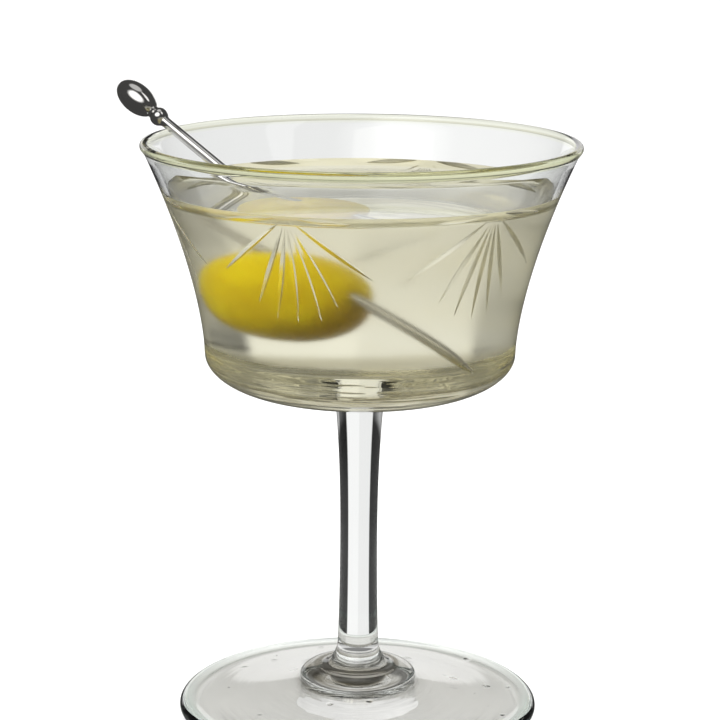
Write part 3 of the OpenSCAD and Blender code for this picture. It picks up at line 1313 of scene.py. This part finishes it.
@dataclass
class Studio:
    """Pale floor, soft light and camera; none of it belongs to the object."""

    floor_r: float = 12.0
    floor_z: float = -0.2 * MM
    sheet_r: float = 0.038
    sheet_hole_r: float = 0.0125
    low_card: Card = Card((26.5, 78.0), (-33.0, -9.0), (2.5, 2.0))
    high_card: Card = Card((27.5, 50.0), (-10.4, 22.0), (5.0, 5.0))
    far_card: Card = Card((55.0, 400.0), (-14.0, 26.0), (5.0, 5.0))
    rear_card: Card = Card((105.0, 400.0), (-42.0, 60.0), (10.0, 8.0))
    dark: float = 0.035
    horizon: Pair = (-7.0, 6.0)
    sky_fade: Pair = (14.0, 28.0)
    floor_fade: Pair = (-62.0, -46.0)
    warm: Colour = (1.0, 0.985, 0.93)
    room: float = 0.065
    key_box: Box = (-110.0, 32.0, 26.0, 19.0)
    glint_box: Box = (-112.0, 34.0, 40.0, 29.0)
    side_box: Box = (-35.0, 50.0, 12.0, 20.0)
    fill: float = 1.1
    lights: tuple = ((Side.LEFT, 6.0, 0.6), (Side.RIGHT, 1.0, 0.5), (Side.TOP, 3.0, 0.8))
    light_gap: float = 1.1
    bounces: int = 24
    mirror_bounces: int = 8
    camera_at: Vector = field(default_factory=lambda: Vector((0.0, -0.5046, 0.190)))
    camera_pitch: float = 12.734
    camera_roll: float = 0.428
    lens: float = 124.9
    film_width: float = 36.0
    clip: Pair = (0.01, 50.0)

    def disc(self, name: str, radius: float, hole: float, height: float) -> bpy.types.Object:
        """A round sheet of pale paper, lying flat.

        Args:
            name: The sheet's name.
            radius: Its radius, in metres.
            hole: Radius of the hole in its middle, in metres, or 0.
            height: Its height, in metres.

        Returns:
            The sheet.
        """
        sheet = Workshop.turn(name, [Vector((hole, 0, height)), Vector((radius, 0, height))], 96)
        Workshop.paint(sheet, [PAPER])
        return sheet

    def floor(self) -> None:
        """Lays a wide floor for the camera, and a sheet that only the glass shows."""
        floor = self.disc("studio_floor", self.floor_r, 0.0, self.floor_z)
        floor.visible_transmission = False
        floor.visible_glossy = False
        sheet = self.disc("studio_sheet", self.sheet_r, self.sheet_hole_r, self.floor_z / 2)
        sheet.visible_camera = False
        sheet.visible_shadow = False
        sheet.visible_diffuse = False

    def world(self) -> None:
        """Bright and dark cards all round, as the glass sees them."""
        made = bpy.data.worlds.new("studio_world")
        bpy.context.scene.world = made
        made.use_nodes = True
        graph = Graph(made.node_tree)
        direction = graph.value("ShaderNodeTexCoord", {}, {}, "Generated")
        x, y, z = graph.parts(direction)
        azimuth = y.maths("ARCTAN2", x) * math.degrees(1)
        elevation = z.maths("ARCSINE") * math.degrees(1)
        path = graph.node("ShaderNodeLightPath", {}, {})
        kinds = ("Is Camera Ray", "Is Glossy Ray", "Is Transmission Ray")
        is_camera, is_glossy, is_through = (Value(graph, path.outputs[kind]) for kind in kinds)
        strength = self.blend(is_glossy, self.fill, self.reflected(azimuth, elevation))
        strength = self.blend(is_through, strength, self.seen_through(azimuth, elevation))
        strength = self.blend(is_camera, strength, 1.0)
        warmth = elevation.rise(*self.horizon) * is_through
        colour = graph.mix(warmth, (1.0, 1.0, 1.0), self.warm)
        background = graph.value("ShaderNodeBackground", {}, {"Color": colour, "Strength": strength})
        graph.node("ShaderNodeOutputWorld", {}, {"Surface": background})

    @staticmethod
    def blend(share: Value, low: Value | float, high: Value | float) -> Value:
        """Goes from one value to another as the share goes from 0 to 1."""
        return (1.0 - share) * low + share * high

    def seen_through(self, azimuth: Value, elevation: Value) -> Value:
        """What glass and drink show behind them: a bright backdrop between dark cards.

        Args:
            azimuth: The direction looked in, in degrees, where 90 is straight back.
            elevation: Its height above the horizon, in degrees.

        Returns:
            The brightness.
        """
        aside = abs(azimuth - 90.0)
        on_left = azimuth.rise(89.2, 90.0)
        backdrop = 1.0 - elevation.rise(*self.horizon) * 0.2 - elevation.rise(*self.sky_fade) * 0.55
        floor_shade = 1.0 - (1.0 - elevation.rise(*self.floor_fade)) * 0.75
        high_dark = self.blend(on_left, 0.85 - elevation.rise(-6.0, 3.0) * 0.4, 0.44)
        high = 1.0 - self.high_card.met(aside, elevation) * high_dark
        far = 1.0 - self.far_card.met(aside, elevation) * 0.5
        rear = 1.0 - self.rear_card.met(aside, elevation) * 0.4
        low = 1.0 - self.low_card.met(aside, elevation) * (1.0 - self.dark)
        shade = backdrop * (1.0 - on_left * 0.1) * floor_shade * high * far * rear * low
        key = self.softbox(azimuth, elevation, self.key_box) * 1.5
        return shade.maths("MAXIMUM", key)

    def reflected(self, azimuth: Value, elevation: Value) -> Value:
        """What polished surfaces mirror: softboxes in a dim room.

        Args:
            azimuth: The direction looked in, in degrees.
            elevation: Its height above the horizon, in degrees.

        Returns:
            The brightness.
        """
        aside = abs(azimuth - 90.0)
        backdrop = (1.0 - aside.rise(28.0, 32.0)) * elevation.bump_up(1.0, 13.0, 3.0) * 0.95
        key = self.softbox(azimuth, elevation, self.glint_box, 0.15) * 2.0
        fill = self.softbox(azimuth, elevation, self.side_box) * 1.2
        brightest = backdrop.maths("MAXIMUM", key).maths("MAXIMUM", fill)
        return brightest.maths("MAXIMUM", elevation.rise(68.0, 74.0) * 0.6) + self.room

    @staticmethod
    def softbox(azimuth: Value, elevation: Value, box: Box, core: float = 0.85) -> Value:
        """A soft-edged, oval bright card in the sky.

        Args:
            azimuth: The direction looked in, in degrees.
            elevation: Its height above the horizon, in degrees.
            box: The card's azimuth and elevation, and half its width and height.
            core: How much of it is fully bright.

        Returns:
            1 on the card and 0 off it.
        """
        turn, rise, half_w, half_h = box
        across = (azimuth - turn) / half_w
        up = (elevation - rise) / half_h
        return 1.0 - (across * across + up * up).rise(core, 1.2)

    def light(self, side: Side, power: float, size: float) -> None:
        """Hangs one soft light, aimed at the bowl.

        Args:
            side: Where it stands.
            power: Its power, in watts.
            size: Its diameter, in metres.
        """
        aim = Vector((0, 0, 90 * MM))
        way = side.value.normalized()
        bpy.ops.object.light_add(type="AREA", location=aim + way * self.light_gap)
        light = bpy.context.object
        light.name = f"studio_light_{side.name.lower()}"
        light.rotation_euler = way.to_track_quat("Z", "Y").to_euler()
        light.data.energy = power
        light.data.shape = "DISK"
        light.data.size = size
        light.visible_camera = False
        light.visible_glossy = False
        light.visible_transmission = False

    def camera(self) -> None:
        """The camera, in front and a little above."""
        bpy.ops.object.camera_add(location=self.camera_at)
        camera = bpy.context.object
        camera.name = "studio_camera"
        pitch = Matrix.Rotation(math.radians(90 - self.camera_pitch), 3, "X")
        roll = Matrix.Rotation(math.radians(self.camera_roll), 3, "Z")
        camera.rotation_euler = (pitch @ roll).to_euler()
        camera.data.lens = self.lens
        camera.data.sensor_width = self.film_width
        camera.data.clip_start, camera.data.clip_end = self.clip
        bpy.context.scene.camera = camera

    def build(self) -> None:
        """Sets up the floor, the light and the camera."""
        self.floor()
        self.world()
        for side, power, size in self.lights:
            self.light(side, power, size)
        self.camera()
        scene = bpy.context.scene
        scene.view_settings.view_transform = "Standard"
        scene.cycles.max_bounces = self.bounces
        scene.cycles.transmission_bounces = self.bounces
        scene.cycles.glossy_bounces = self.mirror_bounces
        scene.cycles.caustics_refractive = True


# ------------------------------------------------------------------------ main


def settle(piece: bpy.types.Object, node: str) -> None:
    """Puts a finished piece in the place of its CAD node.

    Args:
        piece: The finished piece.
        node: The CAD node that it stands for.
    """
    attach(piece, "root")
    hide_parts(node)
    log.info("%s stands for %s: %d faces", piece.name, node, len(piece.data.polygons))


def main() -> None:
    """Builds every piece around the frame."""
    logging.basicConfig(level=logging.INFO, format="%(message)s")
    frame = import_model()
    glass_low, glass_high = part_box("glass")
    _, drink_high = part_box("drink")
    olive_low, olive_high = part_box("olive")
    line = PickLine.of_node(frame["nodes"]["pick"])
    foot_r = max(v.co.xy.length for v in frame["nodes"]["glass"].data.vertices if v.co.z < 5 * MM)
    coupe = Coupe(rim_r=glass_high.x / MM, rim_z=glass_high.z / MM, foot_r=foot_r / MM)
    drink = Drink(coupe, creep_z=drink_high.z / MM)
    cuts = Fans(coupe).build()
    for piece, node in ((coupe.build(drink.creep_z, cuts), "glass"), (drink.build(line), "drink")):
        settle(piece, node)
        piece.visible_shadow = False
    settle(Olive((olive_low + olive_high) / 2, line).build(), "olive")
    settle(Pick(line).build(), "pick")
    Studio().build()


if __name__ == "__main__":
    main()
